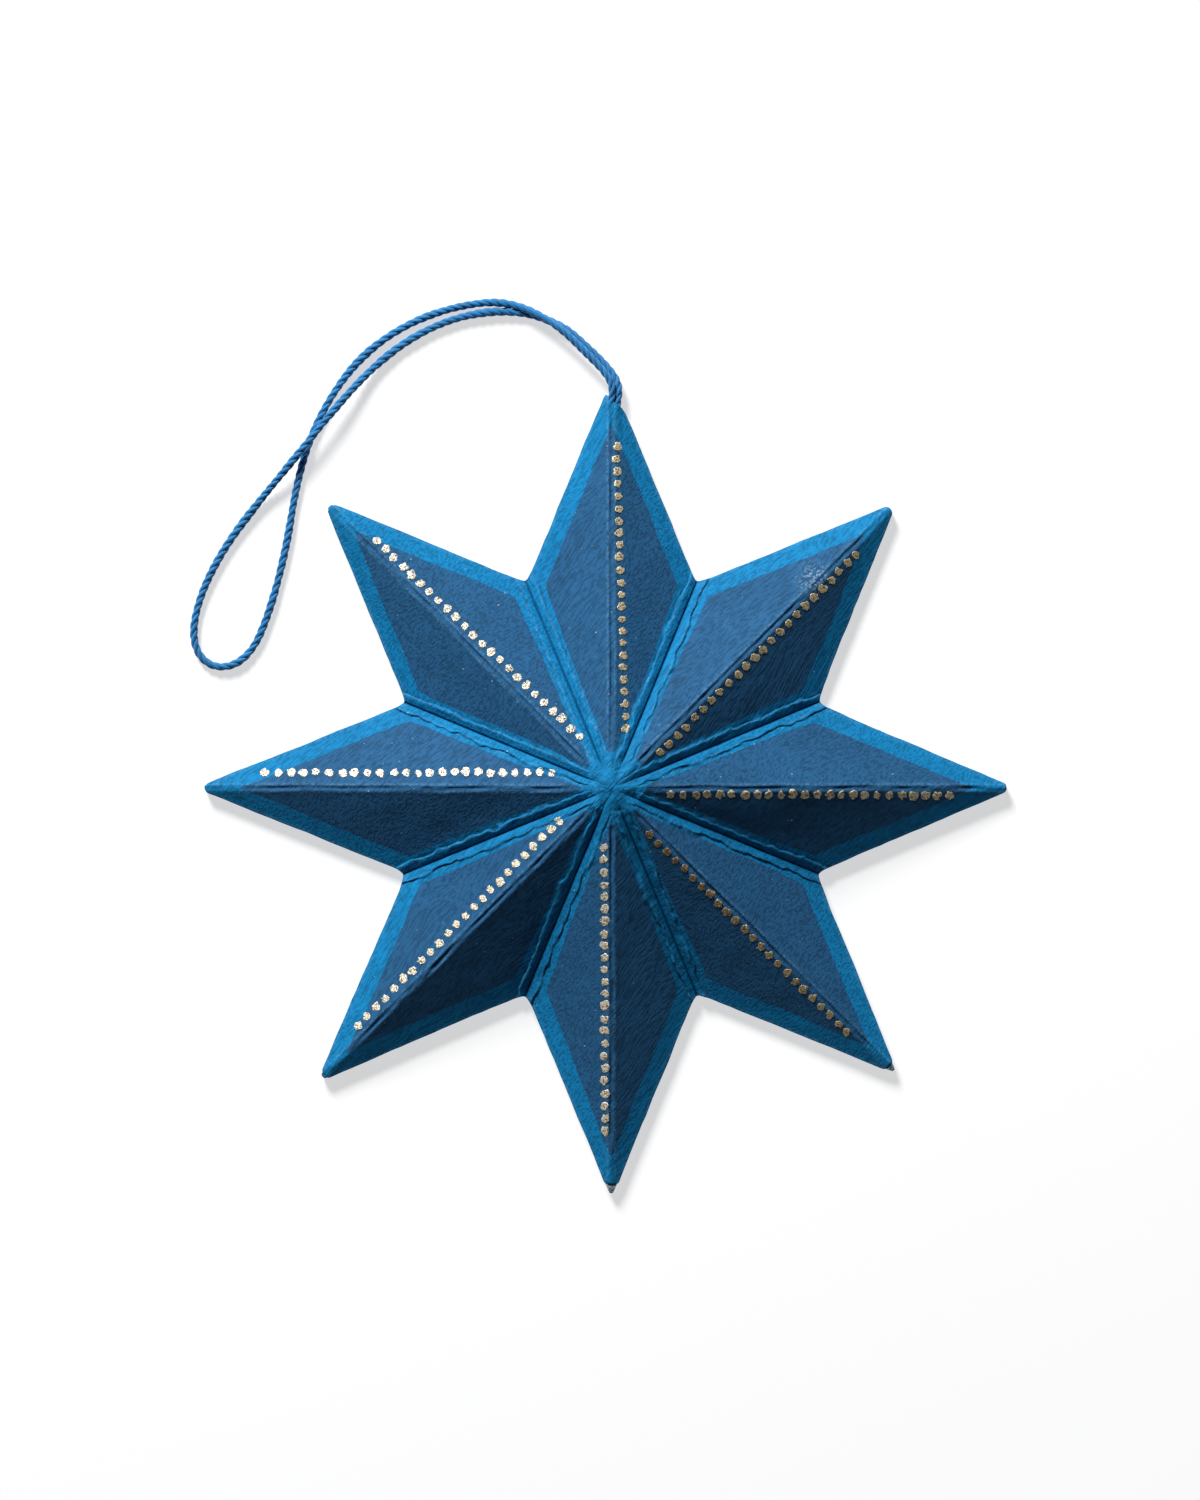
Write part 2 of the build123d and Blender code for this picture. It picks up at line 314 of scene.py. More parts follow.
def cover_height(x, y):
    """Height of the cover's top: folded facets that fall in proportion along and across each
    point, pressed round at the crown, plus the ridges', valleys' and sheet's own relief."""
    along, across, side, from_valley, valley_along, from_edge, point = fold_place(x, y)
    radius = np.hypot(x, y)
    from_crown = np.hypot(x - CROWN_AT[0], y - CROWN_AT[1])
    facets = facet_height(along, across)
    crown = EDGE_Z + RELIEF - CROWN_DROP + 1.15 - 0.27 * np.sqrt(np.minimum(from_crown, 4.4) ** 2 + 1.4)
    height = soft_min(facets, crown, 0.55) + 0.1
    height -= 0.1 * smooth(3, 12, radius)
    sag = 0.07 * waves(x, y, 22, 41) + 0.03 * waves(x, y, 7, 42)
    height += sag * smooth(0.3, 3.5, across) * smooth(1.5, 4, from_valley) * smooth(0, 3, from_edge)
    height += 0.012 * waves(x, y, 1.1, 43, count=18, angle=0.8, stretch=2.5)
    height += ridge_relief(x, y, along, across, side)
    height += roll_relief(x, y, from_valley, np.minimum(valley_along, from_crown), side)
    height += crown_relief(x, y, from_crown)
    dent = bump(along, 6.6, 0.45) * bump(across, 0, 1.0) * (0.6 + 0.5 * waves(x, y, 9, 44))
    height -= 0.16 * np.clip(dent, 0, 1)
    return mouth_relief(along, across, point, height)


def inner_height(x, y):
    """Height of the cover's inside: under the facets by one sheet, and under every groove."""
    along, across, _, from_valley, *_ = fold_place(x, y)
    crown = EDGE_Z + RELIEF - CROWN_DROP - 0.1
    grooves = 0.62 * bump(across, 0, 0.42) + 0.6 * bump(from_valley, 0, 0.16)
    return soft_min(facet_height(along, across), crown, 0.3) - 0.3 - grooves


def blunt_half(t):
    """Half the width of each point's blunt end: nothing far in, and full at the star's edge."""
    return smooth(0.86, 0.995, t)


def half_columns(t, ridge_band, valley_band, between):
    """Distances from the ridge of the columns of half a point at share t of the star: close beside
    the ridge and the valley by the bands given, and evenly spread between them."""
    reach = NOTCH_ACROSS * t
    fit = 1 - np.exp(-reach / 3.0)
    per_mm = TIP_SLOPE * math.sin(HALF_SECTOR) + math.cos(HALF_SECTOR)
    near = np.multiply.outer(fit, ridge_band)
    far = reach[:, None] - np.multiply.outer(fit, valley_band) / per_mm
    steps = np.linspace(0, 1, between + 2)[1:-1]
    middle = near[:, -1:] + (far[:, :1] - near[:, -1:]) * steps
    return np.concatenate([near, middle, far], axis=1)


def star_plan(t, bands, ends, follow=False):
    """Plan places of whole rings of the star, one for each share t: each half point's columns lie
    on a line parallel to the edge, cut across near the point's end and rounded out at the notch.
    To follow the rolls, the columns beside a valley are spread in proportion to the rolls' reach."""
    t = np.asarray(t, float)
    columns = half_columns(t, *bands)
    per_mm = TIP_SLOPE * math.sin(HALF_SECTOR) + math.cos(HALF_SECTOR)
    rounding = 0.7 * smooth(0.8, 1.0, t)[:, None] ** 2
    rings_x, rings_y = [], []
    for point in range(POINTS):
        heading = TOP_ANGLE + point * 2 * HALF_SECTOR
        end_half = (TIP - ends[point]) / TIP_SLOPE
        cut = TIP * t - end_half * blunt_half(t) * TIP_SLOPE
        for side, order in ((-1, slice(None, 0, -1)), (1, slice(0, -1))):
            across = columns[:, order]
            edge = TIP * t[:, None] - across * TIP_SLOPE
            from_valley, valley_along = valley_place(edge, across)
            if follow:
                x = edge * math.cos(heading) - side * across * math.sin(heading)
                y = edge * math.sin(heading) + side * across * math.cos(heading)
                spread = roll_reach(x, y, valley_along, side) / (shape().roll_width / MM) - 1
                across = across - from_valley * spread * (1 - smooth(1.6, 3.4, from_valley)) / per_mm
                edge = TIP * t[:, None] - across * TIP_SLOPE
                from_valley = valley_place(edge, across)[0]
            push = np.sqrt(from_valley**2 + rounding**2) - np.abs(from_valley)
            slant = SLANTS[point] * side * across * blunt_half(t)[:, None]
            along = soft_min(edge, cut[:, None] + 0.04 + slant, 0.16)
            u = along + push * math.cos(HALF_SECTOR)
            v = (across + push * math.sin(HALF_SECTOR)) * side
            rings_x.append(u * math.cos(heading) - v * math.sin(heading))
            rings_y.append(u * math.sin(heading) + v * math.cos(heading))
    x, y = np.concatenate(rings_x, axis=1), np.concatenate(rings_y, axis=1)
    cut_by_hand = 0.09 * waves(x, y, 11, 45) + 0.05 * waves(x, y, 3, 46)
    grow = 1 + cut_by_hand * smooth(0.93, 1.0, t)[:, None] / np.hypot(x, y)
    return x * grow, y * grow


def lengthen(places):
    """Draws each point out along its own heading, evenly from the notches to its end."""
    turn = fold_place(places[..., 0], places[..., 1])
    along, point = turn[0], turn[-1].astype(int)
    shift = np.array(LENGTHENED)[point] * np.clip((along - 34) / 30, 0, 1.1)
    heading = TOP_ANGLE + point * 2 * HALF_SECTOR
    moved = places.copy()
    moved[..., 0] += shift * np.cos(heading)
    moved[..., 1] += shift * np.sin(heading)
    return moved


def ring_faces(rings, columns, first):
    """Quads between whole rings of vertices that follow one another, each ring closed on itself."""
    row = np.arange(rings - 1)[:, None] * columns
    here = np.arange(columns)[None, :]
    after = (here + 1) % columns
    corners = [row + here, row + columns + here, row + columns + after, row + after]
    return np.stack(corners, axis=-1).reshape(-1, 4) + first


def pole_faces(rings, columns, top):
    """Triangles from the first ring to the pole at vertex top, and from the last ring to the pole
    after it."""
    here = np.arange(columns)
    after = (here + 1) % columns
    last = (rings - 1) * columns
    first = np.stack([np.full(columns, top), here, after], axis=1)
    second = np.stack([last + after, last + here, np.full(columns, top + 1)], axis=1)
    return np.concatenate([first, second])


def closed_mesh(name, rings, top, bottom):
    """A mesh of closed rings, given as an array of rings by columns by x, y, z in millimetres, with
    a pole at each end. Faces look out when rings go outwards then under."""
    count, columns = rings.shape[:2]
    faces = ring_faces(count, columns, 0).tolist() + pole_faces(count, columns, count * columns).tolist()
    return mesh_object(name, np.concatenate([rings.reshape(-1, 3), [top, bottom]]), faces)


def mesh_object(name, places, faces):
    """An object at the origin, with its vertices in place, from millimetres."""
    mesh = bpy.data.meshes.new(name)
    mesh.from_pydata((np.asarray(places, float) * MM).tolist(), [], faces)
    mesh.polygons.foreach_set("use_smooth", [True] * len(mesh.polygons))
    mesh.update()
    made = bpy.data.objects.new(name, mesh)
    bpy.context.scene.collection.objects.link(made)
    return made


def stand_for(piece, material, nodes):
    """Gives a new piece its material and its body, and hides what it stands for."""
    piece.data.materials.clear()
    piece.data.materials.append(material)
    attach(piece, "root")
    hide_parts(*nodes)


def finish_node(name, material):
    """Gives one of the frame's own pieces its material."""
    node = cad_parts[name]
    node.data.materials.clear()
    node.data.materials.append(material)
    return node


def add_attribute(piece, name, *parts):
    """Three numbers for each vertex, for the piece's material to read."""
    attribute = piece.data.attributes.new(name, "FLOAT_VECTOR", "POINT")
    attribute.data.foreach_set("vector", np.column_stack(parts).astype(np.float32).ravel())


# Materials


def add_node(tree, kind, inputs=None, **settings):
    """One node, with its settings made and its inputs set or linked."""
    node = tree.nodes.new(kind)
    for name, value in settings.items():
        setattr(node, name, value)
    for key, value in (inputs or {}).items():
        if isinstance(value, bpy.types.NodeSocket):
            tree.links.new(value, node.inputs[key])
        else:
            node.inputs[key].default_value = value
    return node


def calc(tree, operation, *values):
    """The result of one Math node."""
    return add_node(tree, "ShaderNodeMath", dict(enumerate(values)), operation=operation).outputs[0]


def times(tree, first, second):
    """Two values multiplied."""
    return calc(tree, "MULTIPLY", first, second)


def vector_calc(tree, operation, *values):
    """The outputs of one Vector Math node."""
    return add_node(tree, "ShaderNodeVectorMath", dict(enumerate(values)), operation=operation).outputs


def mapped(tree, vector, name, value):
    """Coordinates turned or scaled by one Mapping node."""
    return add_node(tree, "ShaderNodeMapping", {"Vector": vector, name: value}).outputs[0]


def span(tree, value, low, high, to_low=0.0, to_high=1.0, curve="SMOOTHSTEP"):
    """A value spread from one range to another by Map Range."""
    inputs = {0: value, 1: low, 2: high, 3: to_low, 4: to_high}
    return add_node(tree, "ShaderNodeMapRange", inputs, interpolation_type=curve).outputs[0]


def blend_colour(tree, factor, first, second):
    """Two colours mixed; a plain colour may be given as three numbers."""
    node = add_node(tree, "ShaderNodeMix", data_type="RGBA")
    for key, value in ((0, factor), (6, first), (7, second)):
        if isinstance(value, bpy.types.NodeSocket):
            tree.links.new(value, node.inputs[key])
        elif key:
            node.inputs[key].default_value = (*value, 1)
        else:
            node.inputs[key].default_value = value
    return node.outputs[2]


def noise(tree, vector, scale, detail=2.0, roughness=0.5):
    """A noise texture's value, with its scale in bumps for each millimetre."""
    inputs = {"Vector": vector, "Scale": scale, "Detail": detail, "Roughness": roughness}
    return add_node(tree, "ShaderNodeTexNoise", inputs).outputs[0]


def start_material(name, roughness, specular=0.3):
    """A material with its shader, and the object's coordinates in millimetres."""
    material = bpy.data.materials.new(name)
    material.use_nodes = True
    tree = material.node_tree
    shader = tree.nodes["Principled BSDF"]
    shader.inputs["Roughness"].default_value = roughness
    shader.inputs["Specular IOR Level"].default_value = specular
    place = add_node(tree, "ShaderNodeTexCoord").outputs["Object"]
    return material, tree, shader, mapped(tree, place, "Scale", (1000, 1000, 1000))


def drawn_out(tree, place, angle, stretch):
    """Coordinates turned to an angle and drawn out along it."""
    turned = mapped(tree, place, "Rotation", (0, 0, -angle))
    return mapped(tree, turned, "Scale", (1 / stretch, 1, 1))


def finish(tree, shader, colour, height, strength, distance):
    """Gives the shader its colour, and a normal from a height with the distance in millimetres."""
    tree.links.new(colour, shader.inputs["Base Color"])
    inputs = {"Height": height, "Strength": strength, "Distance": distance * MM}
    tree.links.new(add_node(tree, "ShaderNodeBump", inputs).outputs[0], shader.inputs["Normal"])


def paper_grain(tree, place):
    """Two heights for a sheet of handmade paper: its short laid strokes, and its fine tooth."""
    wander = add_node(tree, "ShaderNodeTexNoise", {"Vector": place, "Scale": 0.06, "Detail": 1.0}).outputs[1]
    bent = vector_calc(tree, "MULTIPLY_ADD", wander, (6, 6, 0), place)[0]
    strokes = span(tree, noise(tree, drawn_out(tree, bent, 0.85, 7.0), 2.8, 1.0, 0.5), 0.36, 0.58)
    crossed = span(tree, noise(tree, drawn_out(tree, bent, 2.5, 5.0), 2.6, 1.0, 0.5), 0.32, 0.54)
    laid = calc(tree, "ADD", times(tree, strokes, 0.72), times(tree, crossed, 0.28))
    laid = calc(tree, "SUBTRACT", laid, 0.1)
    tooth = noise(tree, place, 5.0, 3.0, 0.6)
    return laid, tooth


def attribute_parts(tree, name):
    """The three numbers of a piece's own attribute."""
    vector = add_node(tree, "ShaderNodeAttribute", attribute_name=name).outputs["Vector"]
    return add_node(tree, "ShaderNodeSeparateXYZ", {0: vector}).outputs


def shade_by(tree, colour, value, amount):
    """A colour made lighter and darker by a value's distance from a half."""
    factor = calc(tree, "MULTIPLY_ADD", calc(tree, "SUBTRACT", value, 0.5), amount, 1.0)
    node = add_node(tree, "ShaderNodeVectorMath", {0: colour, 3: factor}, operation="SCALE")
    return node.outputs[0]


def slanted(tree, along, across, angle):
    """Distance from a line at an angle: along by its sine, less across by its cosine."""
    across = times(tree, across, math.cos(angle))
    return calc(tree, "SUBTRACT", times(tree, along, math.sin(angle)), across)


def printed_paper():
    """Bright paper with a dark field on each facet, worn along its folds, with painted shade in the crevices
    and creases of its valleys.
    """
    material, tree, shader, place = start_material("Printed paper", 0.72, 0.1)
    along, across, front = attribute_parts(tree, "fold")
    from_tip = calc(tree, "SUBTRACT", TIP, along)
    from_edge = slanted(tree, from_tip, across, TIP_HALF)
    from_valley = slanted(tree, along, across, HALF_SECTOR)
    valley_margin = calc(tree, "MULTIPLY_ADD", along, 0.03, 1.55)
    in_edge = calc(tree, "SUBTRACT", from_edge, 2.8)
    in_valley = calc(tree, "SUBTRACT", from_valley, valley_margin)
    plan = vector_calc(tree, "MULTIPLY", place, (1, 1, 0))[0]
    from_crown = vector_calc(tree, "DISTANCE", plan, (*CROWN_AT, 0))[1]
    in_crown = calc(tree, "SUBTRACT", from_crown, 5.1)
    inside = calc(tree, "SMOOTH_MIN", in_edge, in_valley, 0.9)
    inside = calc(tree, "SMOOTH_MIN", inside, in_crown, 0.5)
    drift = calc(tree, "MULTIPLY_ADD", noise(tree, place, 0.06, 1.0), 1.1, -0.55)
    ragged = calc(tree, "MULTIPLY_ADD", noise(tree, place, 1.3, 3.0, 0.65), 0.36, -0.18)
    inside = calc(tree, "ADD", inside, calc(tree, "ADD", drift, ragged))
    field = times(tree, span(tree, inside, -0.05, 0.05), front)
    laid, tooth = paper_grain(tree, place)
    cloud = noise(tree, place, 0.13, 2.0)
    colour = blend_colour(tree, field, colours().margin, colours().field)
    colour = shade_by(tree, colour, laid, 0.5)
    colour = shade_by(tree, colour, tooth, 0.3)
    colour = shade_by(tree, colour, cloud, 0.4)
    # The attribute's third number is the painted shade of the valleys' crevices and creases.
    wear, crown, crease_shade = attribute_parts(tree, "wear")
    strands = noise(tree, drawn_out(tree, place, 0.72, 7.0), 1.1, 1.0, 0.5)
    strands = calc(tree, "ABSOLUTE", calc(tree, "SUBTRACT", strands, 0.5))
    fibres = times(tree, crown, span(tree, strands, 0.035, 0.0))
    colour = blend_colour(tree, times(tree, fibres, 0.15), colour, (0.08, 0.36, 0.58))
    scuff = vector_calc(tree, "DISTANCE", place, SCUFF)[1]
    flecks = span(tree, noise(tree, place, 2.2, 3.0, 0.7), 0.52, 0.6)
    scuff = times(tree, span(tree, scuff, 4.0, 1.0), flecks)
    colour = blend_colour(tree, times(tree, scuff, 0.45), colour, (0.42, 0.50, 0.56))
    rub = times(tree, wear, span(tree, noise(tree, place, 1.6, 4.0, 0.7), 0.4, 0.66))
    colour = blend_colour(tree, rub, colour, (0.19, 0.42, 0.62))
    # Painted shade: the crevices and creases darkened towards deep blue.
    colour = blend_colour(tree, times(tree, crease_shade, 0.6), colour, (0.001, 0.03, 0.075))
    specks = span(tree, noise(tree, place, 2.4, 0.0), 0.86, 0.885)
    colour = blend_colour(tree, times(tree, specks, 0.6), colour, (0.42, 0.55, 0.66))
    height = calc(tree, "ADD", laid, times(tree, tooth, 0.5))
    height = calc(tree, "MULTIPLY_ADD", fibres, 0.5, height)
    finish(tree, shader, colour, height, 0.5, 0.08)
    return material


def plain_paper(name, colour, roughness=0.65):
    """One colour of handmade paper or card, with its grain."""
    material, tree, shader, place = start_material(name, roughness)
    laid, tooth = paper_grain(tree, place)
    shaded = shade_by(tree, blend_colour(tree, 0.0, colour, colour), laid, 0.5)
    shaded = shade_by(tree, shaded, tooth, 0.5)
    shaded = shade_by(tree, shaded, noise(tree, place, 0.12, 2.0), 0.35)
    height = calc(tree, "ADD", laid, times(tree, tooth, 0.5))
    finish(tree, shader, shaded, height, 0.5, 0.08)
    return material


def dyed_board():
    """Board that is dyed like the cover, and worn grey where its points stick out."""
    material, tree, shader, place = start_material("Dyed board", 0.75, 0.1)
    laid, tooth = paper_grain(tree, place)
    tint_share = attribute_parts(tree, "wear")[0]
    patch = span(tree, noise(tree, place, 1.2, 3.0), 0.2, 0.6, 0.5, 1.0)
    dyed = tuple(value * 0.85 for value in colours().margin)
    shaded = blend_colour(tree, times(tree, tint_share, patch), dyed, (0.30, 0.36, 0.40))
    shaded = shade_by(tree, shaded, tooth, 0.9)
    finish(tree, shader, shaded, calc(tree, "ADD", laid, tooth), 0.8, 0.12)
    return material


def metallic_paint():
    """Crinkled silvery paint, with painted shade in the hollows of its crinkles, and painted shade by rows:
    khaki, and brown flecks, on the rows that lie on facets turned from the light.
    """
    material, tree, shader, place = start_material("Metallic paint", 0.38, 0.5)
    shader.inputs["Metallic"].default_value = 0.4
    crinkle = noise(tree, place, 3.0, 3.0, 0.65)
    flake = noise(tree, place, 6.0, 2.0, 0.6)
    # Painted shade by rows: each row's brown and khaki shares.
    brown_shade, khaki_shade, _ = attribute_parts(tree, "wear")
    khaki_shaded = blend_colour(tree, khaki_shade, colours().dots, (0.74, 0.60, 0.34))
    # Painted shade: the low places of the crinkles darkened.
    colour = blend_colour(tree, span(tree, crinkle, 0.39, 0.5), (0.15, 0.12, 0.08), khaki_shaded)
    # Painted shade: brown flecks on the rows turned from the light.
    tint_share = times(tree, brown_shade, span(tree, flake, 0.62, 0.5))
    colour = blend_colour(tree, tint_share, colour, (0.13, 0.065, 0.03))
    colour = shade_by(tree, colour, flake, 0.5)
    finish(tree, shader, colour, calc(tree, "ADD", crinkle, times(tree, flake, 0.4)), 0.9, 0.15)
    return material


def twisted_yarn():
    """Dyed yarn: fine fibres along each strand, from the strand's own coordinates."""
    material, tree, shader, place = start_material("Twisted yarn", 0.6, 0.3)
    shader.inputs["Sheen Weight"].default_value = 0.25
    strand = add_node(tree, "ShaderNodeUVMap", uv_map="strand").outputs[0]
    stretched = mapped(tree, strand, "Scale", (14, 1.4, 1))
    fibres = noise(tree, stretched, 1.0, 3.0, 0.6)
    cloud = noise(tree, place, 0.5, 2.0)
    colour = blend_colour(tree, 0.0, colours().cord, colours().cord)
    colour = shade_by(tree, colour, fibres, 1.0)
    colour = shade_by(tree, colour, cloud, 0.7)
    finish(tree, shader, colour, fibres, 0.8, 0.09)
    return material


def knot_yarn():
    """The same yarn on the knot, where it has no strand coordinates."""
    material, tree, shader, place = start_material("Knotted yarn", 0.6)
    fibres = noise(tree, drawn_out(tree, place, 0.4, 5.0), 5.0, 3.0, 0.6)
    colour = blend_colour(tree, 0.0, colours().cord, colours().cord)
    finish(tree, shader, shade_by(tree, colour, fibres, 1.2), fibres, 0.8, 0.1)
    return material


# Pieces

# How far each point of the cover reaches, and each point of the board inside it, anticlockwise
# from the top, and how worn the board's points are
COVER_ENDS = (63.0, 64.4, 64.6, 64.3, 63.6, 64.0, 64.6, 64.6)
BOARD_ENDS = (MOUTH - 1.0, 64.9, 65.0, 65.0, 65.3, 65.3, 64.9, 64.9)
WORN_ENDS = (0.0, 0.15, 0.0, 0.1, 1.0, 0.8, 0.0, 0.0)
SCUFF = (32.6, 34.6, 6.3)  # the middle of a pale scuff on one facet
# How much longer than the rest each point is made, and the slant of its cut end
LENGTHENED = (0.8, 0.7, 1.85, 2.1, 1.15, 0.3, 0.0, 0.0)
SLANTS = (0.85, 0, 0, 0, 0, 0, 0, 0)
# Distances of the cover's columns from the ridges and from the valleys
RIDGE_BAND = np.array([0, 0.13, 0.26, 0.39, 0.53, 0.68, 0.86, 1.12])
VALLEY_BAND = np.array(
    [0, 0.07, 0.15, 0.26, 0.4, 0.56, 0.73, 0.9, 1.06, 1.2, 1.32, 1.43, 1.54, 1.68, 1.95, 2.5]
)


def build_cover():
    """The cover as one closed shell of rings: out over the front, down round the rim with a hollow
    mouth at each point's end, in under the back, and up again under the front by one sheet."""
    bands = (RIDGE_BAND, VALLEY_BAND[::-1], 20)
    ends = COVER_ENDS
    ridge = np.concatenate([np.arange(1, 20) * 0.35, np.linspace(7.0, TIP - 0.5, 84)])
    t = ridge / TIP
    x, y = star_plan(t, bands, ends, follow=True)
    top = np.stack([x, y, cover_height(x, y)], axis=-1)
    edge = top[-1]
    before, after = np.roll(edge, 1, axis=0), np.roll(edge, -1, axis=0)
    run = after[:, :2] - before[:, :2]
    out = np.stack([run[:, 1], -run[:, 0]], axis=1)
    out /= np.hypot(out[:, 0], out[:, 1])[:, None]
    along, across, *_, point = fold_place(edge[:, 0], edge[:, 1])
    end = np.array(ends)[point.astype(int)]
    half = (TIP - end) / TIP_SLOPE
    mouth = smooth(0.12, 0.4, half - across) * (along > end - 1.5)
    heading = TOP_ANGLE + point * 2 * HALF_SECTOR
    inwards = -np.stack([np.cos(heading), np.sin(heading)], axis=1)
    lip = edge[:, 2] - SHEET
    rim = []
    for push, level, hollow in (
        (0.12, edge[:, 2] - 0.05, 0),
        (0.18, edge[:, 2] - SHEET, 0),
        (0.16, lip - 0.04, 0.15),
        (0.14, lip - 0.12, 1.6),
        (0.14, 0.5 * (lip + BOARD_FOOT), 1.7),
        (0.16, BOARD_FOOT - 0.01, 1.6),
        (0.17, BOARD_FOOT - 0.03, 0.1),
        (0.13, COVER_FOOT + 0.05, 0),
        (0.04, COVER_FOOT, 0),
    ):
        plan = edge[:, :2] + out * push + inwards * (mouth * hollow)[:, None]
        rim.append(np.column_stack([plan, np.broadcast_to(level, lip.shape)]))
    turned_in = 1 - np.array([0.5, 1.6, 3.2, 4.8]) / TIP_WALL
    x, y = star_plan(turned_in, bands, ends)
    slit = 0.14 * bump(fold_place(x, y)[3], 0, 0.16)
    under = np.stack([x, y, COVER_FOOT + slit], axis=-1)
    back = under[::-1].copy()
    back[..., 2] = BOARD_FOOT - 0.01
    x, y = star_plan(1 - np.array([0.35]) / TIP_WALL, bands, ends)
    foot = np.stack([x, y, np.full_like(x, BOARD_FOOT)], axis=-1)
    inner = np.array([0.975, 0.93, 0.85, 0.7, 0.55, 0.4, 0.26, 0.15, 0.08, 0.03])
    x, y = star_plan(inner, bands, ends)
    inside = np.stack([x, y, inner_height(x, y)], axis=-1)
    rings = np.concatenate([top, np.array(rim), under, back, foot, inside])
    zero = np.zeros(1)
    peak = (0, 0, float(cover_height(zero, zero + 0.01)[0]))
    hollow_peak = (0, 0, float(inner_height(zero, zero + 0.01)[0]))
    piece = closed_mesh("front_cover_paper", lengthen(rings), peak, hollow_peak)
    flat = np.concatenate([rings.reshape(-1, 3), [peak, hollow_peak]])
    x, y = flat[:, 0], flat[:, 1]
    along, across, side, from_valley, valley_along, from_edge, _ = fold_place(x, y)
    front = np.zeros(len(flat))
    front[: top.shape[0] * top.shape[1]] = 1
    front[-2] = 1
    add_attribute(piece, "fold", along, across, front)
    crest = bump(across, 0.62, 0.18) * smooth(6, 9, along) * 0.3
    rolls = bump(from_valley, 1.3, 0.15) * smooth(3, 6, valley_along) * 0.28
    share = from_valley / roll_reach(x, y, valley_along, side)
    patchy = np.clip(0.6 + 0.6 * waves(x, y, 6, 61), 0, 1)
    # Painted shade: a dark line along each valley's crevice, and along creases on the rolls and at their
    # feet, fading out towards the middle.
    crease_shade = bump(from_valley, 0, 0.19) + bump(share, 1.05, 0.09) * patchy
    crease_shade = crease_shade + 0.5 * bump(share, 0.5, 0.07) * (1 - patchy)
    crease_shade = np.clip(crease_shade, 0, 1) * smooth(3.0, 7.0, valley_along) * front
    middle = 1 - smooth(3.5, 6.5, np.hypot(x, y))
    rim_wear = 0.25 * bump(from_edge, 0.1, 0.3)
    wear = np.clip(crest + rolls + rim_wear, 0, 1) * front
    # The third number is the painted shade of the valleys' crevices and creases.
    add_attribute(piece, "wear", wear, middle * front, crease_shade)
    return piece


def build_lining():
    """The lining as a closed sheet of rings: its underside dips where it steps off the turned-in
    cover, its cut edge wanders a little, and its top lies against the turned-in cover and board."""
    bands = (np.array([0, 0.6, 1.4]), np.array([1.8, 0.8, 0]), 7)
    inset = np.array([25.2, 22, 19, 16, 13, 10.5, 8.5, 7, 6, 5.5, 5.2, 4.9, 4.6, 4.0, 3.2, 2.4, 1.95])
    t = 1 - inset / TIP_WALL
    x, y = star_plan(t, bands, (COVER_END,) * POINTS)
    wander = 1 + 0.004 * smooth(4, 1.9, inset)[:, None] * waves(x, y, 14, 51)
    x, y = x * wander, y * wander
    step = smooth(5.6, 4.7, inset)[:, None] * (BOARD_FOOT - SHEET)
    lift = 0.025 * (1 + waves(x, y, 12, 52)) + 0.012 * (1 + waves(x, y, 3, 53))
    low = np.maximum(BOARD_FOOT - SHEET - step + lift * smooth(1.8, 2.6, inset)[:, None], 0)
    under = np.stack([x, y, low], axis=-1)
    upper = under[::-1].copy()
    upper[..., 2] += SHEET * 0.97
    rings = np.concatenate([upper[::-1], under[::-1]])
    middle = float(low[0].mean())
    return closed_mesh("back_lining_paper", rings, (0, 0, middle + SHEET * 0.97), (0, 0, middle))


def build_board():
    """The board as a closed slab of rings: out along its top, down its cut edge and back below.
    Its points come out of the cover's ends, rounded at their corners."""
    bands = (np.array([0, 0.1, 0.25, 0.45, 0.8]), np.array([1.5, 0]), 3)
    edge_share = 1 - SHEET / TIP_WALL
    t = np.array([0.05, 0.3, 0.6, 0.8, 0.9, 0.95, 0.975]) * edge_share
    x, y = star_plan(t, bands, BOARD_ENDS)
    top = np.stack([x, y, np.full_like(x, BOARD_TOP)], axis=-1)
    rims = []
    for inset, level in (
        (0.1, BOARD_TOP),
        (0.02, BOARD_TOP - 0.07),
        (0, BOARD_TOP - 0.3),
        (0, BOARD_FOOT + 0.15),
        (0.08, BOARD_FOOT),
    ):
        x, y = star_plan([edge_share - inset / TIP_WALL], bands, BOARD_ENDS)
        wear = 0.05 * waves(x, y, 1.6, 55) * (inset < 0.09) * (level > BOARD_FOOT)
        rims.append(np.stack([x * (1 + wear / 65), y * (1 + wear / 65), np.full_like(x, level)], axis=-1))
    under = top[::-1].copy()
    under[..., 2] = BOARD_FOOT
    rings = np.concatenate([top, *rims, under])
    place = fold_place(rings[..., 0], rings[..., 1])
    swelling = smooth(61.6, 62.9, place[0]) * (1 - 0.5 * smooth(64.2, 65.2, place[0])) * (place[-1] != 0)
    rings[..., 2] += 0.75 * swelling * smooth(BOARD_FOOT, BOARD_TOP, rings[..., 2])
    piece = closed_mesh("star_board", lengthen(rings), (0, 0, BOARD_TOP), (0, 0, BOARD_FOOT))
    flat = np.concatenate([rings.reshape(-1, 3), [(0, 0, 0), (0, 0, 0)]])
    point = fold_place(flat[:, 0], flat[:, 1])[-1].astype(int)
    tint_share = np.array(WORN_ENDS)[point] * smooth(61, 63.6, np.hypot(flat[:, 0], flat[:, 1]))
    add_attribute(piece, "wear", tint_share, tint_share, tint_share)
    return piece


